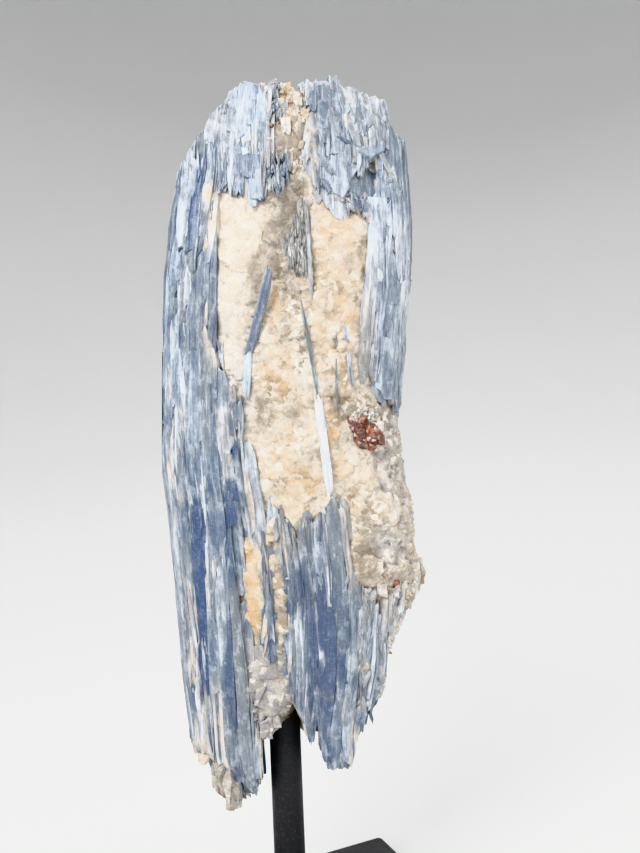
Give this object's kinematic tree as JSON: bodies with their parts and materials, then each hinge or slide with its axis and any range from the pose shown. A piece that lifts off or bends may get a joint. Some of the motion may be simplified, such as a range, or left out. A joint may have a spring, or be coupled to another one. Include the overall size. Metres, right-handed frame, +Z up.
{
  "type": "kyanite blade cluster on a rod stand",
  "caption": "Mineral specimen of grown-together blue kyanite blades in pale quartz, held upright by a dark steel rod on a flat rectangular base plate, for display.",
  "frame": {"origin": "on the rod's axis at the underside of the base plate", "axes": "+Z up along the rod and the blades, -Y out of the specimen's best face, +X to the right as that face is seen"},
  "size_m": [0.11, 0.1002, 0.2301],
  "materials": {
    "kyanite_and_quartz": "pearly bladed kyanite, pale steel blue to deep blue, with granular cream quartz",
    "blackened_steel": "matt black over rough steel"
  },
  "bodies": {
    "root": {"kyanite_cluster": "kyanite_and_quartz", "stand_rod": "blackened_steel", "stand_base": "blackened_steel"}
  },
  "joints": []
}
